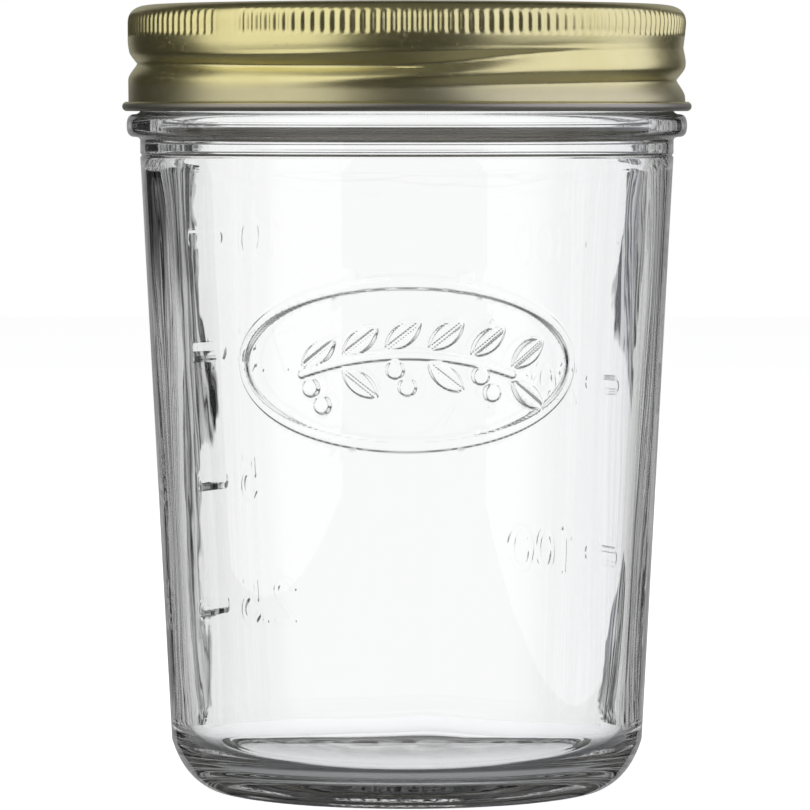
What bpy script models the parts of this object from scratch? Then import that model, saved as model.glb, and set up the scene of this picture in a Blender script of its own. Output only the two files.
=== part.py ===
"""Wide-mouth preserving jar with a two-part screw lid, at rest with the band screwed tight.

Metres, +Z up. The origin is the centre of the ring that the jar stands on, and -Y is the front.
Four pieces: the glass jar, the flat lid disc, the ring of sealing compound under its edge, and the
screw band that holds both down. The jar's thread and the band's pressed groove are right-handed
helices of one pitch, so the band climbs one pitch for each turn.
"""

import math

import bmesh
import bpy
from mathutils import Vector

# How finely round shapes are divided, and how near two points count as one.
COLUMNS = 60
FILLET_STEPS = 2
CORNER_STEPS = 3
BEND_STEPS = 4
GROOVE_ROWS = 14
CURL_STEPS = 6
MERGE_DISTANCE = 0.000001

# Clearances between pieces that touch on the real jar, and between the thread and the band.
SEAT_GAP = 0.0003
THREAD_CLEARANCE = 0.0003
DISC_PLAY = 0.0001
BEAD_GAP = 0.0005

# The glass finish, which is the threaded collar that the lid closes.
JAR_HEIGHT = 0.12235
FINISH_RADIUS = 0.0423
FINISH_WALL = 0.0039
RIM_ROUND = 0.0008
BEAD_PROUD = 0.0023
BEAD_HEIGHT = 0.0036
NECK_LENGTH = 0.0029
NECK_PROUD = 0.00015

# The body of the jar. The wall narrows downwards by this share of the height.
WALL_THICKNESS = 0.0030
TAPER_SHARE = 0.0519
HEEL_HEIGHT = 0.0075
HEEL_DRAW = 0.0057
HEEL_CORNER_SHARE = 0.3
HEEL_CORNER_RISE_SHARE = 0.25
BEARING_WIDTH = 0.0016
PUSH_UP = 0.0021
FLOOR_THICKNESS = 0.0032
INNER_HEEL = 0.0062
BORE_RISE = 0.0048

# The screw thread of the glass and the groove that is rolled into the band.
THREAD_PITCH = 0.00508
THREAD_HEIGHT = 0.0015
THREAD_RADIUS = 0.0014
THREAD_START = math.radians(-135)
THREAD_FADE = math.radians(60)
GROOVE_DEPTH = 0.0013
GROOVE_HALF_WIDTH = 0.0020
GROOVE_START_RISE = 0.0030
GROOVE_END_DROP = 0.0071

# The screw band.
BAND_SHEET = 0.0003
BAND_HEIGHT = 0.0169
BAND_SHOULDER_WIDTH = 0.0032
BAND_SHOULDER_DROP = 0.0020
BAND_LIP_WIDTH = 0.0056
CURL_RADIUS = 0.00045
CURL_DRAW = 0.0001
CURL_END_ANGLE = math.radians(80)
KNURL_HEIGHT = 0.0046

# The lid disc and its ring of sealing compound.
DISC_SHEET = 0.00025
DISC_LIP = 0.0012
DISC_ROUND = 0.0004
DISC_STEP = 0.0015
DISC_STEP_RUN = 0.0005
PANEL_MARGIN = 0.0045
PANEL_SLOPE = 0.0012
PANEL_RISE = 0.0006
DOME_RISE = 0.0002
DOME_HALFWAY_SHARE = 0.75
RING_THICKNESS = 0.0008

# Places that follow from the sizes above. The lid's heights are counted from the sealing rim.
BORE_RADIUS = FINISH_RADIUS - FINISH_WALL
BEAD_RADIUS = FINISH_RADIUS + BEAD_PROUD
NECK_RADIUS = FINISH_RADIUS + NECK_PROUD
RING_TOP = SEAT_GAP + RING_THICKNESS
DISC_TOP = RING_TOP + SEAT_GAP + DISC_SHEET
BAND_TOP = DISC_TOP + SEAT_GAP + BAND_SHEET
BAND_BOTTOM = BAND_TOP - BAND_HEIGHT
BAND_RADIUS = FINISH_RADIUS + THREAD_HEIGHT + THREAD_CLEARANCE + BAND_SHEET
DISC_RADIUS = BAND_RADIUS - BAND_SHEET - GROOVE_DEPTH - DISC_PLAY
GROOVE_START = BAND_BOTTOM + GROOVE_START_RISE
GROOVE_END = BAND_TOP - GROOVE_END_DROP
THREAD_SPAN = math.tau * (GROOVE_END - GROOVE_START) / THREAD_PITCH
BEAD_TOP = JAR_HEIGHT + BAND_BOTTOM - BEAD_GAP
BEAD_BOTTOM = BEAD_TOP - BEAD_HEIGHT
SHOULDER_HEIGHT = BEAD_BOTTOM - NECK_LENGTH


def clear_scene():
    for old in list(bpy.data.objects):
        bpy.data.objects.remove(old, do_unlink=True)


def new_collection(name, helper=False):
    collection = bpy.data.collections.new(name)
    bpy.context.scene.collection.children.link(collection)
    collection.hide_render = helper
    return collection


def material(name, colour, roughness, metallic=0.0, transmission=0.0):
    made = bpy.data.materials.new(name)
    made.use_nodes = True
    shader = made.node_tree.nodes["Principled BSDF"]
    shader.inputs["Base Color"].default_value = (*colour, 1.0)
    shader.inputs["Roughness"].default_value = roughness
    shader.inputs["Metallic"].default_value = metallic
    shader.inputs["Transmission Weight"].default_value = transmission
    return made


def bend(start, corner, end, steps=CORNER_STEPS):
    """A rounded corner of a profile: the curve from start to end that is drawn towards the corner."""
    points = []
    for step in range(steps + 1):
        t = step / steps
        first = Vector(start).lerp(Vector(corner), t)
        second = Vector(corner).lerp(Vector(end), t)
        points.append(tuple(first.lerp(second, t)))
    return points


def turned(name, profile, collection, closed=False):
    """An object turned round the Z axis from (radius, height) points that run down its outer side."""
    mesh = bpy.data.meshes.new(name)
    edges = [(i, i + 1) for i in range(len(profile) - 1)]
    if closed:
        edges.append((len(profile) - 1, 0))
    mesh.from_pydata([(radius, 0, height) for radius, height in profile], edges, [])
    made = bpy.data.objects.new(name, mesh)
    collection.objects.link(made)
    screw = made.modifiers.new("turn", "SCREW")
    screw.axis = "Z"
    screw.angle = math.tau
    screw.steps = COLUMNS
    screw.render_steps = COLUMNS
    screw.use_merge_vertices = True
    screw.merge_threshold = MERGE_DISTANCE
    screw.use_smooth_shade = True
    return made


def evaluated_mesh(made):
    """The mesh that the object's modifiers or curve settings make."""
    bpy.context.view_layer.update()
    graph = bpy.context.evaluated_depsgraph_get()
    return bpy.data.meshes.new_from_object(made.evaluated_get(graph))


def give_thickness(made, sheet):
    """Turns the outer face of pressed sheet into a closed sheet that lies under that face."""
    solidify = made.modifiers.new("sheet", "SOLIDIFY")
    solidify.thickness = sheet
    solidify.offset = -1
    solidify.use_even_offset = True


def fade(turn, span):
    """1 along a thread, falling smoothly to 0 at both of its ends."""
    inside = min(turn, span - turn) / THREAD_FADE
    inside = max(0.0, min(1.0, inside))
    return inside * inside * (3 - 2 * inside)


def wall_radius(height):
    """Outer radius of the tapering glass wall."""
    return NECK_RADIUS - TAPER_SHARE * (SHOULDER_HEIGHT - height)


def inner_profile():
    """Inside of the jar, from the middle of the floor up to the rim."""
    floor = PUSH_UP + FLOOR_THICKNESS
    heel_top = floor + INNER_HEEL
    heel_radius = wall_radius(heel_top) - WALL_THICKNESS
    neck_inside = NECK_RADIUS - WALL_THICKNESS
    profile = [(0, floor)]
    profile += bend((heel_radius - INNER_HEEL, floor), (heel_radius, floor), (heel_radius, heel_top), BEND_STEPS)
    profile.append((neck_inside, SHOULDER_HEIGHT))
    profile += bend((neck_inside, BEAD_TOP), (BORE_RADIUS, BEAD_TOP), (BORE_RADIUS, BEAD_TOP + BORE_RISE))
    profile += bend(
        (BORE_RADIUS, JAR_HEIGHT - RIM_ROUND),
        (BORE_RADIUS, JAR_HEIGHT),
        (BORE_RADIUS + RIM_ROUND, JAR_HEIGHT),
    )
    return profile


def outer_profile():
    """Outside of the jar, from the rim down to the middle of the pushed-up base."""
    bead_middle = BEAD_TOP - BEAD_HEIGHT / 2
    bead_crown = FINISH_RADIUS + BEAD_PROUD / 2
    heel_radius = wall_radius(HEEL_HEIGHT)
    bearing_outside = heel_radius - HEEL_DRAW
    bearing_inside = bearing_outside - BEARING_WIDTH
    heel_corner = (heel_radius - HEEL_DRAW * HEEL_CORNER_SHARE, HEEL_HEIGHT * HEEL_CORNER_RISE_SHARE)
    profile = bend(
        (FINISH_RADIUS - RIM_ROUND, JAR_HEIGHT),
        (FINISH_RADIUS, JAR_HEIGHT),
        (FINISH_RADIUS, JAR_HEIGHT - RIM_ROUND),
    )
    profile += bend(
        (FINISH_RADIUS, BEAD_TOP + BEAD_PROUD / 2),
        (FINISH_RADIUS, BEAD_TOP),
        (bead_crown, BEAD_TOP),
        FILLET_STEPS,
    )
    profile += bend((bead_crown, BEAD_TOP), (BEAD_RADIUS, BEAD_TOP), (BEAD_RADIUS, bead_middle))[1:]
    profile += bend((BEAD_RADIUS, bead_middle), (BEAD_RADIUS, BEAD_BOTTOM), (bead_crown, BEAD_BOTTOM))[1:]
    profile += [(NECK_RADIUS, BEAD_BOTTOM - BEAD_PROUD / 4), (NECK_RADIUS, SHOULDER_HEIGHT)]
    profile += bend((heel_radius, HEEL_HEIGHT), heel_corner, (bearing_outside, 0), BEND_STEPS)
    profile += bend((bearing_inside, 0), (bearing_inside - PUSH_UP, PUSH_UP), (bearing_inside / 2, PUSH_UP))
    profile.append((0, PUSH_UP))
    return profile


def thread_tube(collection):
    """The glass thread as a tube along a helix, which sinks into the wall at both ends."""
    curve = bpy.data.curves.new("thread_path", "CURVE")
    curve.dimensions = "3D"
    curve.twist_mode = "Z_UP"
    curve.bevel_depth = THREAD_RADIUS
    curve.bevel_resolution = 2
    curve.use_fill_caps = True
    count = math.ceil(COLUMNS * THREAD_SPAN / math.tau) + 1
    spline = curve.splines.new("POLY")
    spline.points.add(count - 1)
    crest = FINISH_RADIUS + THREAD_HEIGHT - THREAD_RADIUS
    start_height = JAR_HEIGHT + GROOVE_START + THREAD_PITCH / 2
    for index, point in enumerate(spline.points):
        turn = THREAD_SPAN * index / (count - 1)
        radius = crest - (1 - fade(turn, THREAD_SPAN)) * (THREAD_HEIGHT + SEAT_GAP)
        angle = THREAD_START + turn
        height = start_height + THREAD_PITCH * turn / math.tau
        point.co = (radius * math.cos(angle), radius * math.sin(angle), height, 1)
    path = bpy.data.objects.new("thread_path", curve)
    collection.objects.link(path)
    mesh = evaluated_mesh(path)
    cleaned = bmesh.new()
    cleaned.from_mesh(mesh)
    bmesh.ops.remove_doubles(cleaned, verts=cleaned.verts, dist=MERGE_DISTANCE)
    bmesh.ops.recalc_face_normals(cleaned, faces=cleaned.faces)
    cleaned.to_mesh(mesh)
    cleaned.free()
    tube = bpy.data.objects.new("thread_tube", mesh)
    tube.matrix_world = path.matrix_world
    collection.objects.link(tube)
    bpy.data.objects.remove(path)
    tube.hide_render = True
    tube.display_type = "WIRE"
    return tube


def glass_jar(parts, helpers):
    jar = turned("jar_body", inner_profile() + outer_profile(), parts)
    union = jar.modifiers.new("thread", "BOOLEAN")
    union.operation = "UNION"
    union.solver = "EXACT"
    union.object = thread_tube(helpers)
    jar.data.materials.append(material("clear_glass", (0.96, 0.98, 0.97), 0.02, transmission=1.0))
    return jar


def disc_profile():
    """Upper face of the lid disc, from its middle out to the lip round its edge."""
    step_radius = BORE_RADIUS - SEAT_GAP - DISC_SHEET
    floor = DISC_TOP - DISC_STEP
    floor_radius = step_radius - DISC_STEP_RUN
    panel_radius = floor_radius - PANEL_MARGIN
    panel = floor + PANEL_RISE
    profile = [(0, panel + DOME_RISE), (panel_radius / 2, panel + DOME_RISE * DOME_HALFWAY_SHARE)]
    profile += [(panel_radius - PANEL_SLOPE, panel), (panel_radius, floor), (floor_radius, floor)]
    profile += [(step_radius, DISC_TOP)]
    profile += bend(
        (DISC_RADIUS - DISC_ROUND, DISC_TOP),
        (DISC_RADIUS, DISC_TOP),
        (DISC_RADIUS, DISC_TOP - DISC_ROUND),
        FILLET_STEPS,
    )
    profile.append((DISC_RADIUS, DISC_TOP - DISC_LIP))
    return profile


def lid_disc(parts, lid):
    disc = turned("lid_disc", disc_profile(), parts)
    give_thickness(disc, DISC_SHEET)
    disc.data.materials.append(material("disc_lacquer", (0.78, 0.72, 0.52), 0.3, metallic=1.0))
    disc.parent = lid
    return disc


def sealing_ring(parts, lid):
    inside = BORE_RADIUS + SEAT_GAP
    outside = DISC_RADIUS - DISC_SHEET - SEAT_GAP
    profile = [(inside, RING_TOP), (outside, RING_TOP), (outside, SEAT_GAP), (inside, SEAT_GAP)]
    ring = turned("sealing_ring", profile, parts, closed=True)
    ring.data.materials.append(material("sealing_compound", (0.42, 0.40, 0.38), 0.6))
    ring.parent = lid
    return ring


def band_profile():
    """Outer face of the band, from the opening in its top down to the end of the curled lower edge."""
    opening = BAND_RADIUS - BAND_LIP_WIDTH
    curl_height = BAND_BOTTOM + CURL_RADIUS + BAND_SHEET
    skirt_radius = BAND_RADIUS - CURL_DRAW
    knurl_bottom = BAND_TOP - KNURL_HEIGHT
    profile = [(opening, BAND_TOP)]
    profile += bend(
        (BAND_RADIUS - BAND_SHOULDER_WIDTH, BAND_TOP),
        (BAND_RADIUS, BAND_TOP),
        (BAND_RADIUS, BAND_TOP - BAND_SHOULDER_DROP),
        BEND_STEPS,
    )
    groove_bottom = curl_height + CURL_RADIUS
    for row in range(GROOVE_ROWS + 1):
        down = row / GROOVE_ROWS
        height = knurl_bottom + (groove_bottom - knurl_bottom) * down
        profile.append((BAND_RADIUS - CURL_DRAW * down, height))
    curl_middle = skirt_radius + CURL_RADIUS
    start = math.pi
    sweep = math.pi + CURL_END_ANGLE
    for step in range(CURL_STEPS + 1):
        angle = start + sweep * step / CURL_STEPS
        profile.append((curl_middle + CURL_RADIUS * math.cos(angle), curl_height + CURL_RADIUS * math.sin(angle)))
    return profile


def press_groove(mesh):
    """Rolls the helical thread groove into the wall of the band."""
    for vertex in mesh.vertices:
        depth = 0.0
        turn = (math.atan2(vertex.co.y, vertex.co.x) - THREAD_START) % math.tau
        while turn < THREAD_SPAN:
            centre = GROOVE_START + THREAD_PITCH * turn / math.tau
            away = abs(vertex.co.z - centre) / GROOVE_HALF_WIDTH
            if away < 1:
                bell = (1 + math.cos(math.pi * away)) / 2
                depth = max(depth, GROOVE_DEPTH * bell * fade(turn, THREAD_SPAN))
            turn += math.tau
        radius = math.hypot(vertex.co.x, vertex.co.y)
        inwards = (radius - depth) / radius
        vertex.co.x *= inwards
        vertex.co.y *= inwards


def screw_band(parts, lid):
    turned_band = turned("band_blank", band_profile(), parts)
    mesh = evaluated_mesh(turned_band)
    bpy.data.objects.remove(turned_band)
    mesh.name = "screw_band"
    press_groove(mesh)
    band = bpy.data.objects.new("screw_band", mesh)
    parts.objects.link(band)
    give_thickness(band, BAND_SHEET)
    band.data.materials.clear()
    band.data.materials.append(material("gold_lacquer", (0.72, 0.65, 0.42), 0.32, metallic=1.0))
    band.parent = lid
    return band


def build():
    clear_scene()
    parts = new_collection("preserving_jar")
    helpers = new_collection("helpers", helper=True)
    glass_jar(parts, helpers)
    # The lid climbs and turns about the jar's axis, and its heights are counted from the sealing rim.
    lid = bpy.data.objects.new("lid_axis", None)
    parts.objects.link(lid)
    lid.location = (0, 0, JAR_HEIGHT)
    lid_disc(parts, lid)
    sealing_ring(parts, lid)
    screw_band(parts, lid)


build()
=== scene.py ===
"""Looks of a wide-mouth preserving jar with a two-part screw lid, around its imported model.

Metres, +Z up, -Y is the front. The jar's axis is the Z axis, and it stands on the plane z = 0.
"""

import math

import bmesh
import bpy
import numpy as np
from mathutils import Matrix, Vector


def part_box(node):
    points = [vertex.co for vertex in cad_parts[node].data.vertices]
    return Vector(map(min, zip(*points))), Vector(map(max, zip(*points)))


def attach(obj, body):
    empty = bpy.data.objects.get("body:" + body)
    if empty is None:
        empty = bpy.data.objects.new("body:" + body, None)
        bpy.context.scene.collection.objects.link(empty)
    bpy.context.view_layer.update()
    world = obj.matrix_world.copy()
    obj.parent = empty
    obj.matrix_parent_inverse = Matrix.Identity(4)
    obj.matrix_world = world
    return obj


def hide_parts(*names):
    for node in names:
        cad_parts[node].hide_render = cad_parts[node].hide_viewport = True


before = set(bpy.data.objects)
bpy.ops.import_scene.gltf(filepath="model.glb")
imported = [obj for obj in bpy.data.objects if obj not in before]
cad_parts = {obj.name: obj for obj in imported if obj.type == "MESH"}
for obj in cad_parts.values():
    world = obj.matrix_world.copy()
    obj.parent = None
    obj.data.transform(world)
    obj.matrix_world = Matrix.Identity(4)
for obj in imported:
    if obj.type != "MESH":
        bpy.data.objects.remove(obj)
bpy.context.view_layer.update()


# The glass jar: one piece of clear soda-lime glass, pressed in a mould. Its wall narrows downwards to a
# rounded heel and a pushed-up base. The thread, the bead under the lid, the volume marks, the panel on
# the front and the slanting ticks under the heel all come from the mould.

JAR_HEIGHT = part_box("jar_body")[1].z
JAR_COLUMNS = 240
FINISH_RADIUS = 0.0423
FINISH_WALL = 0.0039
RIM_ROUND = 0.0008
BEAD_TOP = 0.1072
BEAD_PROUD = 0.0023
BEAD_HEIGHT = 0.0036
NECK_LENGTH = 0.0029
NECK_PROUD = 0.00015
WALL_THICKNESS = 0.0030
TAPER_SHARE = 0.0519
HEEL_HEIGHT = 0.0075
HEEL_DRAW = 0.0057
HEEL_CORNER_SHARE = 0.3
HEEL_CORNER_RISE_SHARE = 0.25
BEARING_WIDTH = 0.0016
PUSH_UP = 0.0021
FLOOR_THICKNESS = 0.0032
FLOOR_DISH = 0.0003
FLOOR_DISH_RUN = 0.0012
INNER_HEEL = 0.0062
BORE_BOTTOM = 0.1120
SEAM_DEPTH = 0.00022
SEAM_HALF_WIDTH = 0.0004
SEAM_ROWS = 8
THREAD_ROW = 0.0004

BEAD_BOTTOM = BEAD_TOP - BEAD_HEIGHT
SHOULDER_HEIGHT = BEAD_BOTTOM - NECK_LENGTH
NECK_RADIUS = FINISH_RADIUS + NECK_PROUD
BORE_RADIUS = FINISH_RADIUS - FINISH_WALL


def bend(start, corner, end, steps):
    """A rounded corner of a profile: the curve from start to end that is drawn towards the corner."""
    points = []
    for step in range(steps + 1):
        first = Vector(start).lerp(Vector(corner), step / steps)
        second = Vector(corner).lerp(Vector(end), step / steps)
        points.append(tuple(first.lerp(second, step / steps)))
    return points


def run(start, end, steps):
    """Evenly spaced points of a straight stretch of a profile, without its ends."""
    return [tuple(Vector(start).lerp(Vector(end), step / steps)) for step in range(1, steps)]


def wall_radius(height):
    """Outer radius of the tapering glass wall, for a height or an array of heights."""
    return NECK_RADIUS - TAPER_SHARE * (SHOULDER_HEIGHT - height)


def turned_mesh(profile, columns, closed=False):
    """A mesh turned round the Z axis from (radius, height) points that run down its outer side."""
    made = bmesh.new()
    rings = []
    for radius, height in profile:
        if radius == 0:
            rings.append([made.verts.new((0, 0, height))] * columns)
            continue
        ring = []
        for column in range(columns):
            angle = math.tau * column / columns
            ring.append(made.verts.new((radius * math.cos(angle), radius * math.sin(angle), height)))
        rings.append(ring)
    if closed:
        rings.append(rings[0])
    for upper, lower in zip(rings, rings[1:]):
        for column in range(columns):
            beside = (column + 1) % columns
            corners = [upper[column], lower[column], lower[beside], upper[beside]]
            made.faces.new(dict.fromkeys(corners))
    for face in made.faces:
        face.smooth = True
    return made


def jar_profile():
    """The jar's section: up its inside from the middle of the floor, over the rim, and down its outside."""
    floor = PUSH_UP + FLOOR_THICKNESS
    dish = floor - FLOOR_DISH
    inner_heel_top = floor + INNER_HEEL
    inner_radius = wall_radius(inner_heel_top) - WALL_THICKNESS
    neck_inside = NECK_RADIUS - WALL_THICKNESS
    floor_edge = inner_radius - INNER_HEEL
    dish_edge = floor_edge - FLOOR_DISH_RUN
    inner_wall_start = (inner_radius, inner_heel_top)
    inner_wall_end = (neck_inside, SHOULDER_HEIGHT)
    points = [(0, dish)] + run((0, dish), (dish_edge, dish), 7)
    points += bend((dish_edge, dish), (floor_edge, dish), (floor_edge, floor), 5)
    points += bend((floor_edge, floor), (inner_radius, floor), inner_wall_start, 14)[1:]
    points += run(inner_wall_start, inner_wall_end, 26) + [inner_wall_end]
    points += run(inner_wall_end, (neck_inside, BEAD_TOP), 5)
    points += bend((neck_inside, BEAD_TOP), (BORE_RADIUS, BEAD_TOP), (BORE_RADIUS, BORE_BOTTOM), 8)
    rim_side = JAR_HEIGHT - RIM_ROUND
    points += run((BORE_RADIUS, BORE_BOTTOM), (BORE_RADIUS, rim_side), 6)
    rim_inside = (BORE_RADIUS + RIM_ROUND, JAR_HEIGHT)
    rim_outside = (FINISH_RADIUS - RIM_ROUND, JAR_HEIGHT)
    thread_top = (FINISH_RADIUS, rim_side)
    points += bend((BORE_RADIUS, rim_side), (BORE_RADIUS, JAR_HEIGHT), rim_inside, 4)
    points += bend(rim_outside, (FINISH_RADIUS, JAR_HEIGHT), thread_top, 4)
    thread_bottom = (FINISH_RADIUS, BEAD_TOP + BEAD_PROUD / 2)
    points += run(thread_top, thread_bottom, round((thread_top[1] - thread_bottom[1]) / THREAD_ROW))
    crown = FINISH_RADIUS + BEAD_PROUD / 2
    bead_radius = FINISH_RADIUS + BEAD_PROUD
    bead_middle = BEAD_TOP - BEAD_HEIGHT / 2
    points += bend(thread_bottom, (FINISH_RADIUS, BEAD_TOP), (crown, BEAD_TOP), 5)
    points += bend((crown, BEAD_TOP), (bead_radius, BEAD_TOP), (bead_radius, bead_middle), 6)[1:]
    points += bend((bead_radius, bead_middle), (bead_radius, BEAD_BOTTOM), (crown, BEAD_BOTTOM), 6)[1:]
    neck_top = (NECK_RADIUS, BEAD_BOTTOM - BEAD_PROUD / 4)
    points += bend((crown, BEAD_BOTTOM), (NECK_RADIUS, BEAD_BOTTOM), neck_top, 4)[1:]
    points += run(neck_top, (NECK_RADIUS, SHOULDER_HEIGHT + SEAM_HALF_WIDTH), 3)
    heel_top = (wall_radius(HEEL_HEIGHT), HEEL_HEIGHT)
    for row in range(SEAM_ROWS + 1):
        place = 2 * row / SEAM_ROWS - 1
        dip = SEAM_DEPTH * (1 + math.cos(math.pi * place)) / 2
        points.append((NECK_RADIUS - dip, SHOULDER_HEIGHT - place * SEAM_HALF_WIDTH))
    wall_top = SHOULDER_HEIGHT - SEAM_HALF_WIDTH
    points += run((wall_radius(wall_top), wall_top), heel_top, 40)
    bearing_outside = heel_top[0] - HEEL_DRAW
    bearing_inside = bearing_outside - BEARING_WIDTH
    heel_corner = (heel_top[0] - HEEL_DRAW * HEEL_CORNER_SHARE, HEEL_HEIGHT * HEEL_CORNER_RISE_SHARE)
    points += bend(heel_top, heel_corner, (bearing_outside, 0), 16)
    push_up_start = (bearing_inside / 2, PUSH_UP)
    points += bend((bearing_inside, 0), (bearing_inside - PUSH_UP, PUSH_UP), push_up_start, 12)
    points += run(push_up_start, (0, PUSH_UP), 4) + [(0, PUSH_UP)]
    return points


# What the mould leaves on the outside of the wall: an oval panel with a leafy sprig on the front, and
# plain volume marks on the back. All of it is raised, with rounded edges.

PANEL_HEIGHT = 0.0690
PANEL_HALF_WIDTH = 0.0270
PANEL_HALF_HEIGHT = 0.0125
PANEL_RIDGE = 0.0015
MOULDED_RISE = 0.00045
MOULDED_EDGE = 0.00040
STEM_WIDTH = 0.0011
LEAF_LENGTH = 0.0068
LEAF_WIDTH = 0.0031
LEAF_ANGLE = math.radians(38)
LEAF_RIB = 0.00035
BERRY_RADIUS = 0.0013
BERRY_HANG_SHARES = (1.6, 3.6)
BERRY_SLOPE = 1.4
SPRIG_HALF_LENGTH = 0.0165
SPRIG_SAG = 0.0030
STEM_STEPS = 16
LEAF_PAIRS = 6
DIGIT_HEIGHT = 0.0067
DIGIT_PITCH_SHARE = 0.76
DIGIT_STROKE = 0.0010
MARK_RISE_SHARE = 0.22
MARK_FADE_START = 0.062
MARK_FADE_END = 0.084
MARK_FADE_SHARE = 0.45
DASH_LENGTH = 0.0100
DASH_WIDTH = 0.0021
DASH_START = 0.0376
MARK_GAP = 0.0044
SAME_LEVEL = 0.000001
COARSE_REACH = 0.0012
FINE_REACH = 0.00035


def arc(middle, radii, start, end, steps=10):
    """Points of an elliptical arc, with its angles in degrees."""
    points = []
    for step in range(steps + 1):
        angle = math.radians(start + (end - start) * step / steps)
        points.append((middle[0] + radii[0] * math.cos(angle), middle[1] + radii[1] * math.sin(angle)))
    return points


# The strokes of each digit, as shares of its height.
DIGIT_SHARES = {
    "0": [arc((0.3, 0.5), (0.26, 0.5), 0, 360, 24)],
    "1": [[(0.14, 0.8), (0.36, 1.0), (0.36, 0.0)]],
    "2": [arc((0.3, 0.73), (0.26, 0.27), 170, -40) + [(0.04, 0.0), (0.58, 0.0)]],
    "3": [arc((0.28, 0.76), (0.25, 0.24), 160, -90) + arc((0.28, 0.26), (0.28, 0.26), 90, -160)],
    "5": [[(0.52, 1.0), (0.12, 1.0), (0.08, 0.56)] + arc((0.28, 0.33), (0.28, 0.33), 125, -150)],
    "7": [[(0.04, 1.0), (0.56, 1.0), (0.22, 0.0)]],
    ".": [[(0.18, 0.02), (0.24, 0.02)]],
}
FULL_STOP_PITCH_SHARE = 0.42


def from_stroke(across, up, points, width):
    """Distance outside a round-ended stroke along these points, and less than zero inside it."""
    nearest = np.full(across.shape, np.inf)
    for (x0, y0), (x1, y1) in zip(points, points[1:]):
        run_x, run_y = x1 - x0, y1 - y0
        if run_x == run_y == 0:
            continue
        share = ((across - x0) * run_x + (up - y0) * run_y) / (run_x * run_x + run_y * run_y)
        share = np.clip(share, 0, 1)
        nearest = np.minimum(nearest, np.hypot(across - x0 - share * run_x, up - y0 - share * run_y))
    return nearest - width / 2


def from_leaf(across, up, base, angle):
    """Distance outside a pointed leaf that grows from base, with a vein pressed into its middle."""
    along = (across - base[0]) * math.cos(angle) + (up - base[1]) * math.sin(angle)
    beside = (up - base[1]) * math.cos(angle) - (across - base[0]) * math.sin(angle)
    along = along - LEAF_LENGTH / 2
    bow = (LEAF_LENGTH**2 / LEAF_WIDTH + LEAF_WIDTH) / 4
    set_back = bow - LEAF_WIDTH / 2
    outline = np.maximum(np.hypot(along, beside - set_back), np.hypot(along, beside + set_back)) - bow
    return np.maximum(outline, LEAF_RIB / 2 - np.abs(beside))


def sprig_height(across):
    """The stem's height over the middle of the panel, which is bowed upwards."""
    return SPRIG_SAG * (1 - 2 * (across / SPRIG_HALF_LENGTH) ** 2) / 2


def from_panel(across, up):
    """Distance outside the oval ridge and the sprig, from the middle of the front panel."""
    stretched = np.hypot(across / PANEL_HALF_WIDTH, up / PANEL_HALF_HEIGHT)
    slope = np.hypot(across / PANEL_HALF_WIDTH**2, up / PANEL_HALF_HEIGHT**2)
    ring = (stretched - 1) * stretched / np.maximum(slope, 1)
    nearest = np.abs(ring) - PANEL_RIDGE / 2
    stem = []
    for step in range(STEM_STEPS + 1):
        place = SPRIG_HALF_LENGTH * (2 * step / STEM_STEPS - 1)
        stem.append((place, sprig_height(place)))
    nearest = np.minimum(nearest, from_stroke(across, up, stem, STEM_WIDTH))
    for pair in range(LEAF_PAIRS):
        place = SPRIG_HALF_LENGTH * (2 * pair / (LEAF_PAIRS - 1) - 1)
        height = sprig_height(place)
        upper_leaf = from_leaf(across, up, (place, height + STEM_WIDTH), LEAF_ANGLE)
        nearest = np.minimum(nearest, upper_leaf)
        if pair % 2:
            lower_leaf = from_leaf(across, up, (place, height - STEM_WIDTH), -LEAF_ANGLE)
            nearest = np.minimum(nearest, lower_leaf)
            continue
        for hang in BERRY_HANG_SHARES:
            middle = (place + BERRY_RADIUS * hang / BERRY_SLOPE, height - BERRY_RADIUS * hang)
            berry = np.hypot(across - middle[0], up - middle[1]) - BERRY_RADIUS
            nearest = np.minimum(nearest, berry)
    return nearest


def pitch_share(letter):
    return FULL_STOP_PITCH_SHARE if letter == "." else DIGIT_PITCH_SHARE


def from_number(across, up, text, start):
    """Distance outside the raised digits of a number whose left side is at start."""
    nearest = np.full(across.shape, np.inf)
    for letter in text:
        for stroke in DIGIT_SHARES[letter]:
            points = [(start + x * DIGIT_HEIGHT, (y - 0.5) * DIGIT_HEIGHT) for x, y in stroke]
            nearest = np.minimum(nearest, from_stroke(across, up, points, DIGIT_STROKE))
        start += DIGIT_HEIGHT * pitch_share(letter)
    return nearest


# Heights of the volume marks, in two unlike scales that stand on either side of the back.
LEFT_MARKS = {"100": 0.0353, "200": 0.0631, "300": 0.0857}
RIGHT_MARKS = {"2.5": 0.0269, "5": 0.0473, "7.5": 0.0682, "10": 0.0870}


def from_marks(across, up):
    """Distance outside the volume marks, as someone behind the jar measures from the back's middle line."""
    nearest = np.full(across.shape, np.inf)
    for side, marks in ((-1, LEFT_MARKS), (1, RIGHT_MARKS)):
        for text, height in marks.items():
            dash = [(side * DASH_START, 0), (side * (DASH_START + DASH_LENGTH), 0)]
            nearest = np.minimum(nearest, from_stroke(across, up - height, dash, DASH_WIDTH))
            start = side * (DASH_START - MARK_GAP)
            if side > 0:
                start -= DIGIT_HEIGHT * sum(pitch_share(letter) for letter in text)
            nearest = np.minimum(nearest, from_number(across, up - height, text, start))
    return nearest


def from_mouldings(places):
    """Distances from each place on the outer wall to the panel and to the marks, less than zero on them."""
    radius = wall_radius(places[:, 2])
    front = np.arctan2(places[:, 0], -places[:, 1]) * radius
    back = np.arctan2(-places[:, 0], places[:, 1]) * radius
    return from_panel(front, places[:, 2] - PANEL_HEIGHT), from_marks(back, places[:, 2])


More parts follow.
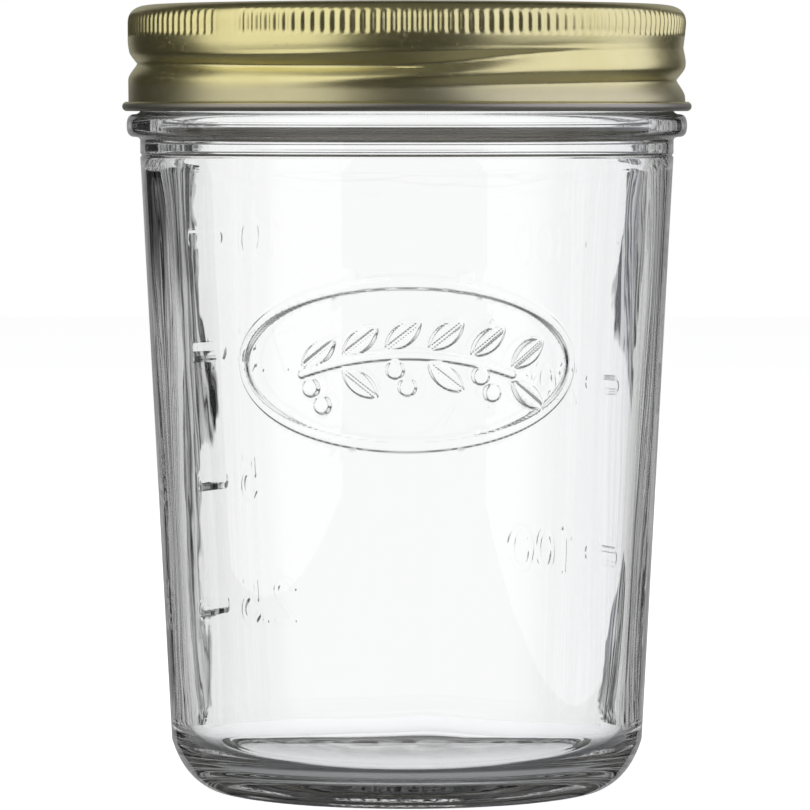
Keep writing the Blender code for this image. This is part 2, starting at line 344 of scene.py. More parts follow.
def on_wall(places):
    """True for places on the outside of the wall, between the heel and the neck."""
    heights = places[:, 2]
    outside = np.hypot(places[:, 0], places[:, 1]) > wall_radius(heights) - WALL_THICKNESS / 2
    return outside & (heights > HEEL_HEIGHT) & (heights < SHOULDER_HEIGHT - SEAM_HALF_WIDTH * 2)


def refine(made, cuts, chosen, columns_only=False):
    """Divides the faces whose middles are chosen, both ways or only into narrower columns."""
    made.faces.ensure_lookup_table()
    middles = np.array([face.calc_center_median() for face in made.faces])
    edges = set()
    for index in np.nonzero(chosen(middles))[0]:
        edges.update(made.faces[index].edges)
    if columns_only:
        lengths = {edge: [vertex.co.length for vertex in edge.verts] for edge in edges}
        edges = {edge for edge, (first, second) in lengths.items() if abs(first - second) < SAME_LEVEL}
    bmesh.ops.subdivide_edges(made, edges=list(edges), cuts=cuts, use_grid_fill=True)


def raise_mouldings(made):
    """Puts each vertex of the outer wall on its true radius, and lifts it where a shape is raised."""
    made.verts.ensure_lookup_table()
    places = np.array([vertex.co for vertex in made.verts])
    wall = np.nonzero(on_wall(places))[0]
    heights = places[wall, 2]
    radius = wall_radius(heights)
    fading = np.interp(heights, (MARK_FADE_START, MARK_FADE_END), (1, MARK_FADE_SHARE))
    for distance, share in zip(from_mouldings(places[wall]), (1, MARK_RISE_SHARE * fading)):
        inside = np.clip(0.5 - distance / MOULDED_EDGE, 0, 1)
        radius += MOULDED_RISE * share * inside * inside * (3 - 2 * inside)
    for index, wanted in zip(wall, radius):
        vertex = made.verts[index]
        scale = wanted / math.hypot(vertex.co.x, vertex.co.y)
        vertex.co.x *= scale
        vertex.co.y *= scale


# Pressed glass is never even: its inner wall swells and thins a little in long upright waves.
WAVE_RISE = 0.00006
WAVES = ((3, 0.7, 1.0, 22), (5, 2.1, 0.8, -31), (8, 4.0, 0.5, 41), (13, 1.3, 0.28, -57), (21, 5.2, 0.14, 73))


def press_waves(made):
    """Moves the inner wall in and out along its waves, each of (count, phase, share, twist per metre)."""
    floor = PUSH_UP + FLOOR_THICKNESS
    for vertex in made.verts:
        radius = math.hypot(vertex.co.x, vertex.co.y)
        height = vertex.co.z
        inner = radius < wall_radius(height) - WALL_THICKNESS / 2 and height > floor + INNER_HEEL
        if not inner or height > SHOULDER_HEIGHT:
            continue
        angle = math.atan2(vertex.co.y, vertex.co.x)
        wave = 0
        for count, phase, share, twist in WAVES:
            wave += share * math.cos(count * angle + phase + twist * height)
        nearest_end = min(height - floor - INNER_HEEL, SHOULDER_HEIGHT - height)
        ease = max(0, min(1, nearest_end / INNER_HEEL))
        scale = 1 + WAVE_RISE * wave * ease / radius
        vertex.co.x *= scale
        vertex.co.y *= scale


class Formula:
    """Writes nodes into a node tree. A call adds one maths node and gives its value."""

    def __init__(self, tree):
        self.tree = tree

    def node(self, kind, **settings):
        made = self.tree.nodes.new(kind)
        for name, value in settings.items():
            setattr(made, name, value)
        return made

    def join(self, values, sockets):
        for socket, value in zip(sockets, values):
            if isinstance(value, bpy.types.NodeSocket):
                self.tree.links.new(value, socket)
            else:
                socket.default_value = value

    def given(self, kind, *values, **settings):
        """The outputs of a new node that takes these values into its first inputs."""
        made = self.node(kind, **settings)
        self.join(values, made.inputs)
        return made.outputs

    def __call__(self, operation, *values):
        return self.given("ShaderNodeMath", *values, operation=operation)[0]

    def bell(self, share):
        """1 where the share is 0, falling in a smooth wave to 0 where it is 1 or more."""
        wave = self("COSINE", self("MULTIPLY", self("MINIMUM", share, 1.0), math.pi))
        return self("MULTIPLY_ADD", wave, 0.5, 0.5)

    def ramp(self, value, low, high, start=0.0, end=1.0):
        """A smooth step from start at low to end at high."""
        values = (value, low, high, start, end)
        return self.given("ShaderNodeMapRange", *values, interpolation_type="SMOOTHSTEP")[0]

    def noise(self, place, scale, detail, stretch=(1.0, 1.0, 1.0)):
        """Noise over a place, drawn out along the axes where the stretch is below 1."""
        made = self.node("ShaderNodeTexNoise")
        self.join((scale, detail), (made.inputs["Scale"], made.inputs["Detail"]))
        still = (0.0, 0.0, 0.0)
        self.join(self.given("ShaderNodeMapping", place, still, still, stretch)[:1], made.inputs)
        return made.outputs[0]

    def blend(self, factor, first, second, data_type="RGBA"):
        """A colour or a value between two, at this share of the way."""
        made = self.node("ShaderNodeMix", data_type=data_type)
        self.join((factor, first, second), [made.inputs[name] for name in ("Factor", "A", "B")])
        return made.outputs["Result"]

    def bump(self, shader, height, strength, distance):
        """Lets a shader's surface look as high as the height says."""
        made = self.node("ShaderNodeBump")
        sockets = [made.inputs[name] for name in ("Height", "Strength", "Distance")]
        self.join((height, strength, distance), sockets)
        self.tree.links.new(made.outputs[0], shader.inputs["Normal"])


def shape_tree(name, inputs):
    """A geometry tree with a mesh going in and out, and named sizes. Gives the tree and its two end nodes."""
    tree = bpy.data.node_groups.new(name, "GeometryNodeTree")
    tree.interface.new_socket("Geometry", in_out="INPUT", socket_type="NodeSocketGeometry")
    for label, value in inputs.items():
        tree.interface.new_socket(label, in_out="INPUT", socket_type="NodeSocketFloat").default_value = value
    tree.interface.new_socket("Material", in_out="INPUT", socket_type="NodeSocketMaterial")
    tree.interface.new_socket("Geometry", in_out="OUTPUT", socket_type="NodeSocketGeometry")
    return tree, tree.nodes.new("NodeGroupInput"), tree.nodes.new("NodeGroupOutput")


def finish_shape(formula, into, out, along, distance):
    """Moves each vertex by a distance along a direction, then sets the material."""
    tree = formula.tree
    offset = formula.node("ShaderNodeVectorMath", operation="SCALE")
    tree.links.new(along, offset.inputs[0])
    tree.links.new(distance, offset.inputs["Scale"])
    moved = formula.node("GeometryNodeSetPosition")
    tree.links.new(into.outputs["Geometry"], moved.inputs["Geometry"])
    tree.links.new(offset.outputs[0], moved.inputs["Offset"])
    realised = formula.node("GeometryNodeRealizeInstances")
    tree.links.new(moved.outputs[0], realised.inputs[0])
    painted = formula.node("GeometryNodeSetMaterial")
    tree.links.new(realised.outputs[0], painted.inputs["Geometry"])
    tree.links.new(into.outputs["Material"], painted.inputs["Material"])
    tree.links.new(painted.outputs[0], out.inputs["Geometry"])


def polar(formula):
    """A vertex's angle round the Z axis, its height, and its direction away from the axis."""
    place = formula.node("GeometryNodeInputPosition").outputs[0]
    x, y, height = formula.given("ShaderNodeSeparateXYZ", place)
    flat = formula.given("ShaderNodeCombineXYZ", x, y, 0.0)[0]
    outwards = formula.given("ShaderNodeVectorMath", flat, operation="NORMALIZE")[0]
    return formula("ARCTAN2", y, x), height, outwards


GAP_INSIDE_SHARE = 0.4
POINT_SHARPNESS = 1.3


def ribs_tree():
    """Upright or slanting ribs all round a piece, between two heights, with a smooth gap in them."""
    sizes = {
        "Count": 10.0, "Rise": 0.0001, "Narrowness": 1.0, "Low": 0.0, "High": 1.0, "Fade": 0.001,
        "Slant": 0.0, "Gap Angle": 0.0, "Gap Width": 0.0,
    }
    tree, into, out = shape_tree("ribs_around", sizes)
    formula = Formula(tree)
    angle, height, _ = polar(formula)
    value = into.outputs
    slanted = formula("MULTIPLY", height, value["Slant"])
    phase = formula("MULTIPLY_ADD", angle, value["Count"], slanted)
    rib = formula("POWER", formula("MULTIPLY_ADD", formula("COSINE", phase), 0.5, 0.5), value["Narrowness"])
    above = formula.ramp(height, value["Low"], formula("ADD", value["Low"], value["Fade"]))
    below = formula.ramp(height, formula("SUBTRACT", value["High"], value["Fade"]), value["High"], 1.0, 0.0)
    turned = formula("WRAP", formula("SUBTRACT", angle, value["Gap Angle"]), math.pi, -math.pi)
    gap_inside = formula("MULTIPLY", value["Gap Width"], GAP_INSIDE_SHARE)
    clear = formula.ramp(formula("ABSOLUTE", turned), gap_inside, value["Gap Width"])
    masked = formula("MULTIPLY", formula("MULTIPLY", rib, clear), formula("MULTIPLY", above, below))
    normal = formula.node("GeometryNodeInputNormal").outputs[0]
    finish_shape(formula, into, out, normal, formula("MULTIPLY", masked, value["Rise"]))
    return tree


def helix_tree():
    """A ridge along a right-handed helix, or a groove if its rise is negative. It fades at both ends."""
    sizes = {
        "Rise": 0.001, "Start Angle": 0.0, "Start Height": 0.0, "Pitch": 0.005, "Turn": 6.0,
        "Fade": 0.5, "Fade Out": 0.5,
        "Start Above": 0.001, "End Above": 0.001, "Start Below": 0.001, "End Below": 0.001,
        "Point": 0.0, "Dip": 0.0, "Dip Turn": 1.0, "Dip Before": 1.0, "Dip After": 1.0,
    }
    tree, into, out = shape_tree("relief_along_helix", sizes)
    formula = Formula(tree)
    angle, height, outwards = polar(formula)
    value = into.outputs
    first = formula("WRAP", formula("SUBTRACT", angle, value["Start Angle"]), math.tau, 0.0)
    reliefs = []
    for lap in range(2):
        turn = formula("ADD", first, math.tau * lap)
        share = formula("DIVIDE", turn, value["Turn"])
        laps = formula("DIVIDE", turn, math.tau)
        centre = formula("MULTIPLY_ADD", laps, value["Pitch"], value["Start Height"])
        past = formula("SUBTRACT", turn, value["Dip Turn"])
        still = formula("DIVIDE", formula("MULTIPLY", past, -1.0), value["Dip Before"])
        dip_share = formula("MAXIMUM", still, formula("DIVIDE", past, value["Dip After"]))
        centre = formula("SUBTRACT", centre, formula("MULTIPLY", formula.bell(dip_share), value["Dip"]))
        away = formula("SUBTRACT", height, centre)
        shares = []
        for side, sign in (("Above", 1.0), ("Below", -1.0)):
            ends = value[f"Start {side}"], value[f"End {side}"]
            reach = formula.given("ShaderNodeMapRange", share, 0.0, 1.0, *ends)[0]
            past_centre = formula("MAXIMUM", formula("MULTIPLY", away, sign), 0.0)
            shares.append(formula("DIVIDE", past_centre, reach))
        away_share = formula("ADD", *shares)
        bell = formula.bell(away_share)
        near = formula("SUBTRACT", 1.0, formula("MINIMUM", away_share, 1.0))
        point = formula("POWER", near, POINT_SHARPNESS)
        bell = formula("MULTIPLY_ADD", formula("SUBTRACT", point, bell), value["Point"], bell)
        begun = formula.ramp(turn, 0.0, value["Fade"])
        fade_start = formula("SUBTRACT", value["Turn"], value["Fade Out"])
        ended = formula.ramp(turn, fade_start, value["Turn"], 1.0, 0.0)
        reliefs.append(formula("MULTIPLY", bell, formula("MULTIPLY", begun, ended)))
    highest = formula("MAXIMUM", *reliefs)
    finish_shape(formula, into, out, outwards, formula("MULTIPLY", highest, value["Rise"]))
    return tree


RIBS = ribs_tree()
HELIX = helix_tree()


def shape_with(piece, tree, material, **sizes):
    """Adds a shape tree to a piece as a modifier and sets its named sizes."""
    modifier = piece.modifiers.new(tree.name, "NODES")
    modifier.node_group = tree
    wanted = {label.replace("_", " ").title(): value for label, value in sizes.items()}
    wanted["Material"] = material
    for socket in tree.interface.items_tree:
        if socket.in_out == "INPUT" and socket.name in wanted:
            modifier[socket.identifier] = wanted[socket.name]


def even_reach(reach):
    """The named sizes of a ridge that reaches as far above its middle as below, from start to end."""
    return {f"{end}_{side}": reach for side in ("above", "below") for end in ("start", "end")}


def plain_piece(name, piece):
    """A plain mesh object of the piece as its modifiers make it. The piece itself is removed."""
    bpy.context.view_layer.update()
    mesh = bpy.data.meshes.new_from_object(piece.evaluated_get(bpy.context.evaluated_depsgraph_get()))
    bpy.data.objects.remove(piece)
    mesh.name = name
    made = bpy.data.objects.new(name, mesh)
    bpy.context.scene.collection.objects.link(made)
    return made


def loose_piece(made, material):
    """An object that holds a bmesh, for more shaping."""
    mesh = bpy.data.meshes.new("blank")
    made.to_mesh(mesh)
    made.free()
    mesh.materials.append(material)
    piece = bpy.data.objects.new("blank", mesh)
    bpy.context.scene.collection.objects.link(piece)
    return piece


def new_material(name):
    """A material with a Principled shader, as (material, shader, formula writer)."""
    material = bpy.data.materials.new(name)
    material.use_nodes = True
    return material, material.node_tree.nodes["Principled BSDF"], Formula(material.node_tree)


def clear_glass():
    """Clear glass with a faint unevenness. Lamps shine through it, as they do through real glass."""
    material, shader, formula = new_material("clear_glass")
    links = material.node_tree.links
    shader.inputs["Base Color"].default_value = (0.995, 1.0, 0.997, 1)
    shader.inputs["Roughness"].default_value = 0.0
    shader.inputs["IOR"].default_value = 1.51
    shader.inputs["Transmission Weight"].default_value = 1.0
    place = formula.node("ShaderNodeTexCoord").outputs["Object"]
    ripple = formula.noise(place, scale=190.0, detail=2.0, stretch=(1.0, 1.0, 0.22))
    formula.bump(shader, ripple, strength=0.35, distance=0.00004)
    shadow_ray = formula.node("ShaderNodeLightPath").outputs["Is Shadow Ray"]
    open_to_lamps = formula.given("ShaderNodeBsdfTransparent", (0.9, 0.91, 0.905, 1))[0]
    mix = formula.given("ShaderNodeMixShader", shadow_ray, shader.outputs[0], open_to_lamps)[0]
    links.new(mix, material.node_tree.nodes["Material Output"].inputs["Surface"])
    return material


THREAD_PITCH = 0.00508
THREAD_START = math.radians(-135)
THREAD_TURN = math.radians(481.9)
THREAD_FADE = math.radians(60)
THREAD_RISE = 0.0015
THREAD_REACH = 0.0017
GROOVE_START = 0.1107
TICK_COUNT = 85
TICK_RISE = -0.00030
TICK_TOP = 0.0030
TICK_FADE = 0.0007
TICK_SLANT = 900.0


def near_mouldings(reach):
    return lambda middles: on_wall(middles) & (np.abs(np.minimum(*from_mouldings(middles))) < reach)


def near_ticks(middles):
    radius = np.hypot(middles[:, 0], middles[:, 1])
    return (middles[:, 2] < TICK_TOP) & (radius > wall_radius(HEEL_HEIGHT) - HEEL_DRAW - BEARING_WIDTH * 2)


glass = clear_glass()
jar_mesh = turned_mesh(jar_profile(), JAR_COLUMNS)
refine(jar_mesh, 3, near_mouldings(COARSE_REACH))
refine(jar_mesh, 1, near_mouldings(FINE_REACH))
refine(jar_mesh, 3, near_ticks, columns_only=True)
raise_mouldings(jar_mesh)
press_waves(jar_mesh)
blank = loose_piece(jar_mesh, glass)
shape_with(
    blank, HELIX, glass, rise=THREAD_RISE, start_angle=THREAD_START,
    start_height=GROOVE_START + THREAD_PITCH / 2, pitch=THREAD_PITCH, turn=THREAD_TURN,
    fade=THREAD_FADE, fade_out=THREAD_FADE, **even_reach(THREAD_REACH),
)
shape_with(
    blank, RIBS, glass, count=TICK_COUNT, rise=TICK_RISE, low=-TICK_FADE, high=TICK_TOP,
    fade=TICK_FADE, slant=TICK_SLANT,
)
jar = plain_piece("glass_jar", blank)
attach(jar, "jar")
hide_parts("jar_body")


# The sealing ring: a flat ring of soft grey sealing compound, flowed into the channel under the disc's
# edge and cured there. The rim of the glass has pressed a shallow track into its underside.

ring_low, ring_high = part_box("sealing_ring")
RING_COLUMNS = 192
RING_INSIDE = 0.0387
RING_OUTSIDE = 0.04215
RING_ROUND = 0.0002
TRACK_DEPTH = 0.0001
TRACK_SHOULDER = 0.0005


def rounded_path(corners, reach, steps, closed=False):
    """A profile through these corners, each rounded from a short way before it to as far behind it."""
    count = len(corners)
    points = []
    for index, corner in enumerate(corners):
        if not closed and index in (0, count - 1):
            points.append(corner)
            continue
        corner = Vector(corner)
        before = Vector(corners[index - 1]) - corner
        after = Vector(corners[(index + 1) % count]) - corner
        start = corner + before.normalized() * min(reach, before.length * 0.45)
        end = corner + after.normalized() * min(reach, after.length * 0.45)
        points += bend(start, corner, end, steps)
    return points


def sealing_material():
    """Matt grey compound with a fine, slightly mottled skin."""
    material, shader, formula = new_material("sealing_compound")
    links = material.node_tree.links
    place = formula.node("ShaderNodeTexCoord").outputs["Object"]
    mottle = formula.noise(place, scale=900.0, detail=4.0)
    tone = formula.blend(mottle, (0.125, 0.115, 0.105, 1), (0.185, 0.172, 0.160, 1))
    links.new(tone, shader.inputs["Base Color"])
    links.new(formula("MULTIPLY_ADD", mottle, 0.2, 0.5), shader.inputs["Roughness"])
    formula.bump(shader, mottle, strength=0.4, distance=0.00003)
    return material


track_inside = BORE_RADIUS + RIM_ROUND
track_outside = RING_OUTSIDE - TRACK_SHOULDER
ring_corners = [
    (RING_INSIDE, ring_high.z), (RING_OUTSIDE, ring_high.z), (RING_OUTSIDE, ring_low.z),
    (track_outside, ring_low.z), (track_outside - TRACK_SHOULDER, ring_low.z + TRACK_DEPTH),
    (track_inside, ring_low.z + TRACK_DEPTH), (RING_INSIDE, ring_low.z),
]
compound = sealing_material()
ring_mesh = turned_mesh(rounded_path(ring_corners, RING_ROUND, 4, closed=True), RING_COLUMNS, closed=True)
ring = plain_piece("compound_ring", loose_piece(ring_mesh, compound))
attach(ring, "lid")
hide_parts("sealing_ring")


# The lid disc: a vacuum disc pressed from thin lacquered tinplate, with a channel round its edge for
# the sealing ring, a step down into the mouth and a slightly domed panel. The band holds it on the rim.

disc_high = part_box("lid_disc")[1]
DISC_COLUMNS = 256
DISC_RADIUS = disc_high.x
DISC_SHEET = 0.00025
DISC_LIP = 0.0012
DISC_STEP = 0.0015
DISC_STEP_RUN = 0.0005
DISC_ROUND = 0.0004
PANEL_MARGIN = 0.0045
PANEL_SLOPE = 0.0012
PANEL_RISE = 0.0006
DOME_RISE = 0.0002
DOME_ROWS = 24
SEAT_GAP = 0.0003


def disc_profile():
    """Upper face of the disc, from its middle out to the lip round its edge."""
    top = disc_high.z
    step_radius = BORE_RADIUS - SEAT_GAP - DISC_SHEET
    floor_radius = step_radius - DISC_STEP_RUN
    panel_radius = floor_radius - PANEL_MARGIN
    floor = top - DISC_STEP
    panel = floor + PANEL_RISE
    dome_radius = panel_radius - PANEL_SLOPE
    points = []
    for row in range(DOME_ROWS):
        share = row / DOME_ROWS
        points.append((dome_radius * share, panel + DOME_RISE * (1 - share * share)))
    corners = [points[-1], (dome_radius, panel), (panel_radius, floor), (floor_radius, floor)]
    corners += [(step_radius, top), (DISC_RADIUS, top), (DISC_RADIUS, top - DISC_LIP)]
    return points + rounded_path(corners, DISC_ROUND, 6)[1:]


def pressed_sheet(piece, thickness):
    """Gives a piece that is pressed from sheet its thickness, under its outer face."""
    sheet = piece.modifiers.new("sheet", "SOLIDIFY")
    sheet.thickness = thickness
    sheet.offset = -1
    sheet.use_even_offset = True


def lacquer_wear_group():
    """Lacquered tinplate: a colour that is a little uneven, a drawn grain round the axis, and fine marks."""
    group = bpy.data.node_groups.new("lacquer_wear", "ShaderNodeTree")
    for label, kind, value in (
        ("Colour", "NodeSocketColor", (0.8, 0.7, 0.5, 1)),
        ("Deep Colour", "NodeSocketColor", (0.6, 0.5, 0.3, 1)),
        ("Roughness", "NodeSocketFloat", 0.3),
        ("Unevenness", "NodeSocketFloat", 0.1),
        ("Marks", "NodeSocketFloat", 0.5),
    ):
        group.interface.new_socket(label, in_out="INPUT", socket_type=kind).default_value = value
    group.interface.new_socket("Colour", in_out="OUTPUT", socket_type="NodeSocketColor")
    group.interface.new_socket("Roughness", in_out="OUTPUT", socket_type="NodeSocketFloat")
    group.interface.new_socket("Height", in_out="OUTPUT", socket_type="NodeSocketFloat")
    formula = Formula(group)
    into = formula.node("NodeGroupInput")
    out = formula.node("NodeGroupOutput")
    value = into.outputs
    place = formula.node("ShaderNodeTexCoord").outputs["Object"]
    cloud = formula.noise(place, scale=130.0, detail=3.0)
    grain = formula.noise(place, scale=420.0, detail=3.0, stretch=(1.0, 1.0, 9.0))
    fleck = formula.noise(place, scale=1500.0, detail=2.0)
    marks = formula("MULTIPLY", formula.ramp(fleck, 0.62, 0.74), value["Marks"])
    clouded = formula("MULTIPLY_ADD", cloud, 1.4, -0.35)
    tone = formula.blend(clouded, value["Deep Colour"], value["Colour"])
    uneven = formula("MULTIPLY", formula("SUBTRACT", grain, 0.5), value["Unevenness"])
    rough = formula("ADD", formula("ADD", value["Roughness"], uneven), formula("MULTIPLY", marks, 0.2))
    height = formula("SUBTRACT", formula("MULTIPLY", grain, 0.4), marks)
    formula.join((tone, rough, height), out.inputs)
    return group


LACQUER_WEAR = lacquer_wear_group()


def lacquered_tinplate(name, colour, deep_colour, roughness, unevenness, marks):
    """Tinplate under clear coloured lacquer: a satin metal whose colour comes from the lacquer."""
    material, shader, formula = new_material(name)
    links = material.node_tree.links
    wear = formula.node("ShaderNodeGroup", node_tree=LACQUER_WEAR)
    wear.inputs["Colour"].default_value = (*colour, 1)
    wear.inputs["Deep Colour"].default_value = (*deep_colour, 1)
    wear.inputs["Roughness"].default_value = roughness
    wear.inputs["Unevenness"].default_value = unevenness
    wear.inputs["Marks"].default_value = marks
    shader.inputs["Metallic"].default_value = 1.0
    links.new(wear.outputs["Colour"], shader.inputs["Base Color"])
    links.new(wear.outputs["Roughness"], shader.inputs["Roughness"])
    formula.bump(shader, wear.outputs["Height"], strength=0.25, distance=0.00002)
    return material


def bare_where(material, bare):
    """Dull tin in place of the lacquer where the mask is 1."""
    links = material.node_tree.links
    shader = material.node_tree.nodes["Principled BSDF"]
    formula = Formula(material.node_tree)
    for socket, value in (("Base Color", (0.42, 0.395, 0.335, 1)), ("Roughness", (0.45, 0.45, 0.45, 1))):
        lacquered = shader.inputs[socket].links[0].from_socket
        links.new(formula.blend(bare, lacquered, value), shader.inputs[socket])


def leave_bare_and_shade_inside(material):
    """The lacquer covers only the outside. It thins towards the curl, which is dull tin. The inside is dull
    tin too, and its dark tone is partly painted shade inside the band.
    """
    formula = Formula(material.node_tree)
    place = formula.node("ShaderNodeTexCoord").outputs
    x, y, height = formula.given("ShaderNodeSeparateXYZ", place["Object"])
    outwards = formula.given("ShaderNodeCombineXYZ", x, y, 0.0)[0]
    both = (place["Normal"], outwards)
    facing = formula.given("ShaderNodeVectorMath", *both, operation="DOT_PRODUCT")["Value"]
    # The inside: plain tin, kept this dark as painted shade inside the band.
    inside = formula("LESS_THAN", facing, -BAND_RADIUS * 0.5)
    curl = formula.ramp(height, LACQUER_END, LACQUER_END + LACQUER_EDGE, 1.0, 0.0)
    thin = formula.ramp(height, LACQUER_THIN_START, LACQUER_THIN_END, 0.0, LACQUER_LOST)
    bare = formula("MAXIMUM", formula("MAXIMUM", inside, curl), thin)
    bare_where(material, bare)


def leave_underside_bare(material):
    """The lacquer covers only the upper side of a disc."""
    formula = Formula(material.node_tree)
    normal = formula.node("ShaderNodeTexCoord").outputs["Normal"]
    upwards = formula.given("ShaderNodeSeparateXYZ", normal)[2]
    bare_where(material, formula("LESS_THAN", upwards, -0.1))


disc_lacquer = lacquered_tinplate(
    "disc_lacquer", (0.84, 0.78, 0.52), (0.76, 0.69, 0.42), roughness=0.28, unevenness=0.05, marks=0.0,
)
leave_underside_bare(disc_lacquer)
disc_blank = loose_piece(turned_mesh(disc_profile(), DISC_COLUMNS), disc_lacquer)
pressed_sheet(disc_blank, DISC_SHEET)
disc = plain_piece("vacuum_disc", disc_blank)
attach(disc, "lid")
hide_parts("lid_disc")


# The screw band: pressed from thin tinplate under champagne gold lacquer. Its top flange leaves the
# disc's middle bare, its upper edge is knurled for grip, the rolled groove rides on the glass thread,
# and its lower edge is curled outwards.

band_low, band_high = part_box("screw_band")
BAND_SHEET = 0.0003
BAND_RADIUS = 0.0444
BAND_TOP_DROP = 0.00012
BAND_SHOULDER_WIDTH = 0.0038
BAND_SHOULDER_DROP = 0.0028
BAND_LIP_WIDTH = 0.0056
BAND_LIP_ROWS = 8
CURL_RADIUS = 0.00045
CURL_DRAW = 0.0001
CURL_TUCK = 0.0002
CURL_END_ANGLE = math.radians(80)
CURL_STEPS = 26
LACQUER_END = 0.1087
LACQUER_THIN_START = 0.1130
LACQUER_THIN_END = 0.1105
LACQUER_EDGE = 0.0002
LACQUER_LOST = 0.45
KNURL_COUNT = 176
KNURL_COLUMNS = 2
KNURL_DEPTH = -0.00026
KNURL_BOTTOM = 0.1194
KNURL_TOP = 0.1232
KNURL_FADE = 0.0006
KNURL_GAP_ANGLE = math.radians(-129)
KNURL_GAP_WIDTH = math.radians(4)
BAND_ROW = 0.00032
GROOVE_SLOPE_DEPTH = -0.0006
GROOVE_FOOT_TURN = math.radians(456)
GROOVE_FADE = math.radians(120)
GROOVE_FADE_OUT = math.radians(75)
GROOVE_SLOPE_TURN = math.radians(540)
GROOVE_FOOT_DEPTH = -0.0009
GROOVE_POINT = 0.9
GROOVE_DIP = 0.00175
GROOVE_DIP_TURN = math.radians(400)
GROOVE_DIP_BEFORE = math.radians(90)
GROOVE_DIP_AFTER = math.radians(48)
CREASE_RISE = 0.00014
CREASE_LAG = math.radians(337)
CREASE_LIFT = 0.0003
CREASE_TURN = math.radians(150)
CREASE_REACH = 0.0005


def band_profile():
    """Outer face of the band, from the opening in its top down to the end of the curled lower edge."""
    top = band_high.z - BAND_TOP_DROP
    opening = BAND_RADIUS - BAND_LIP_WIDTH
    shoulder_inside = (BAND_RADIUS - BAND_SHOULDER_WIDTH, top)
    shoulder_bottom = (BAND_RADIUS, top - BAND_SHOULDER_DROP)
    points = [(opening, top)] + run((opening, top), shoulder_inside, BAND_LIP_ROWS)
    points += bend(shoulder_inside, (BAND_RADIUS, top), shoulder_bottom, 12)
    knurl_end = (BAND_RADIUS, KNURL_BOTTOM)
    points += run(shoulder_bottom, knurl_end, round((shoulder_bottom[1] - knurl_end[1]) / BAND_ROW))
    curl_height = band_low.z + CURL_RADIUS + BAND_SHEET
    skirt_end = (BAND_RADIUS - CURL_DRAW, curl_height + CURL_RADIUS + CURL_TUCK)
    points += [knurl_end] + run(knurl_end, skirt_end, round((knurl_end[1] - skirt_end[1]) / BAND_ROW))
    tucked = (skirt_end[0] - CURL_TUCK, curl_height + CURL_RADIUS * 0.6)
    points += bend(skirt_end, (skirt_end[0], skirt_end[1] - CURL_TUCK), tucked, 4)
    curl_middle = BAND_RADIUS - CURL_DRAW - CURL_TUCK + CURL_RADIUS
    for step in range(CURL_STEPS + 1):
        angle = math.pi + (math.pi + CURL_END_ANGLE) * step / CURL_STEPS
        across, up = CURL_RADIUS * math.cos(angle), CURL_RADIUS * math.sin(angle)
        points.append((curl_middle + across, curl_height + up))
    return points


def in_knurl(middles):
    return (middles[:, 2] > KNURL_BOTTOM) & (middles[:, 2] < KNURL_TOP)


gold_lacquer = lacquered_tinplate(
    "gold_lacquer", (0.87, 0.80, 0.42), (0.78, 0.70, 0.33), roughness=0.30, unevenness=0.12, marks=0.6,
)
leave_bare_and_shade_inside(gold_lacquer)
band_mesh = turned_mesh(band_profile(), KNURL_COUNT * 2)
refine(band_mesh, KNURL_COLUMNS, in_knurl, columns_only=True)
band_blank = loose_piece(band_mesh, gold_lacquer)
shape_with(
    band_blank, RIBS, gold_lacquer, count=KNURL_COUNT, rise=KNURL_DEPTH, narrowness=1.4, low=KNURL_BOTTOM,
    high=KNURL_TOP, fade=KNURL_FADE, gap_angle=KNURL_GAP_ANGLE, gap_width=KNURL_GAP_WIDTH,
)
for depth, turn, start_above, end_above, start_below, end_below in (
    (GROOVE_SLOPE_DEPTH, GROOVE_SLOPE_TURN, 0.0020, 0.0044, 0.0034, 0.0020),
    (GROOVE_FOOT_DEPTH, GROOVE_FOOT_TURN, 0.0020, 0.0017, 0.0026, 0.0020),
):
    shape_with(
        band_blank, HELIX, gold_lacquer, rise=depth, start_angle=THREAD_START,
        start_height=GROOVE_START, pitch=THREAD_PITCH, turn=turn, fade=GROOVE_FADE,
        fade_out=GROOVE_FADE_OUT, start_above=start_above, end_above=end_above,
        start_below=start_below, end_below=end_below, point=GROOVE_POINT, dip=GROOVE_DIP,
        dip_turn=GROOVE_DIP_TURN, dip_before=GROOVE_DIP_BEFORE, dip_after=GROOVE_DIP_AFTER,
    )
shape_with(
    band_blank, HELIX, gold_lacquer, rise=CREASE_RISE, start_angle=THREAD_START + CREASE_LAG,
    start_height=GROOVE_START + THREAD_PITCH * CREASE_LAG / math.tau + CREASE_LIFT,
    pitch=THREAD_PITCH, turn=CREASE_TURN, fade=THREAD_FADE, fade_out=THREAD_FADE,
    **even_reach(CREASE_REACH),
)
pressed_sheet(band_blank, BAND_SHEET)
band = plain_piece("gold_band", band_blank)
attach(band, "band")
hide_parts("screw_band")


# The studio: a white floor and white surroundings, two softboxes at the sides, one behind and one
# overhead. The glass also shows upright grey and black cards, and the metal shows a dim room.

FLOOR_SIDE = 4.0
FLOOR_DROP = 0.00005
PAPER_LEVEL = 0.8
PAPER_GLOW = 0.65
# A painted shadow ring on the paper round the front of the foot, which only rays past the glass see.
FOOT_SHADE_INSIDE = 0.0325
FOOT_SHADE_OUTSIDE = 0.040
FOOT_SHADE_SOFT = 0.0025
FOOT_SHADE_END = 0.050
FOOT_DARKNESS = 0.8
FOOT_BEHIND = 0.012
FOOT_REACH = 0.058


def ray_kinds(formula):
    """The light path's outputs, and 1 for a ray that has been through glass or that was mirrored."""
    path = formula.node("ShaderNodeLightPath").outputs
    past_glass = formula("GREATER_THAN", path["Transmission Depth"], 0.5)
    return path, past_glass, formula("GREATER_THAN", path["Glossy Depth"], 0.5)


